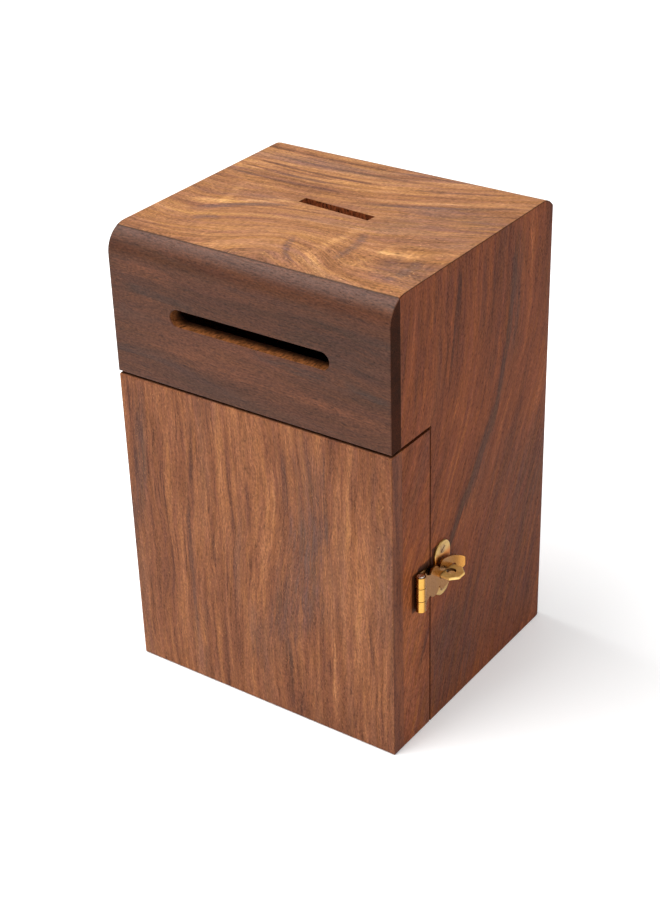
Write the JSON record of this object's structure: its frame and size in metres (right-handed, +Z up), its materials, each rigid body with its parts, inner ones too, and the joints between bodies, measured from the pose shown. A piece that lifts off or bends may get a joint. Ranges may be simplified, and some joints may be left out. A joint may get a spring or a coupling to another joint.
{
  "type": "wooden donation box",
  "caption": "Upright wooden donation box with coin slot, note slot, hinged front tray and a small brass hasp on its side.",
  "frame": {"origin": "centre of the wooden footprint, on the surface that the box stands on", "axes": "+Z up, -Y out of the front, +X to the right of someone facing the front, where the hasp is"},
  "size_m": [0.1641, 0.138, 0.23],
  "materials": {
    "top_wood": "oiled hardwood, golden brown with swirling figure",
    "header_wood": "oiled hardwood, dark purple brown",
    "door_wood": "oiled hardwood, red brown with wavy dark streaks",
    "side_wood": "oiled hardwood, red brown with long slanting dark streaks",
    "inner_wood": "plain oiled hardwood",
    "brass": "polished brass with light scratches",
    "pin_metal": "bright nickel-plated pin ends"
  },
  "bodies": {
    "cabinet": {"side_panel_left": "side_wood", "side_panel_right": "side_wood", "top_panel": "top_wood", "back_panel": "side_wood", "floor_panel": "inner_wood", "header_panel": "header_wood", "lower_hinge_cabinet_leaf": "brass", "lower_hinge_pin": "pin_metal", "lower_hinge_cabinet_screws": "brass", "upper_hinge_cabinet_leaf": "brass", "upper_hinge_pin": "pin_metal", "upper_hinge_cabinet_screws": "brass", "staple_base_plate": "brass", "staple_tab": "brass", "staple_screws": "brass"},
    "door": {"door_front_panel": "door_wood", "door_side_left": "side_wood", "door_side_right": "side_wood", "door_bottom_rail": "inner_wood", "lower_hinge_door_leaf": "brass", "lower_hinge_door_screws": "brass", "upper_hinge_door_leaf": "brass", "upper_hinge_door_screws": "brass", "hasp_fixed_leaf": "brass", "hasp_hinge_pin": "pin_metal", "hasp_leaf_screws": "brass"},
    "hasp_leaf": {"hasp_moving_leaf": "brass"}
  },
  "joints": [
    {"name": "door_hinge", "type": "hinge", "parent": "cabinet", "child": "door", "pos_m": [-0.0768, -0.0383, 0.079], "axis": [0, 0, -1], "range_deg": [0, 175]},
    {"name": "hasp_leaf_hinge", "type": "hinge", "parent": "door", "child": "hasp_leaf", "pos_m": [0.07755, -0.0503, 0.0808], "axis": [0, 0, -1], "range_deg": [0, 175]}
  ]
}
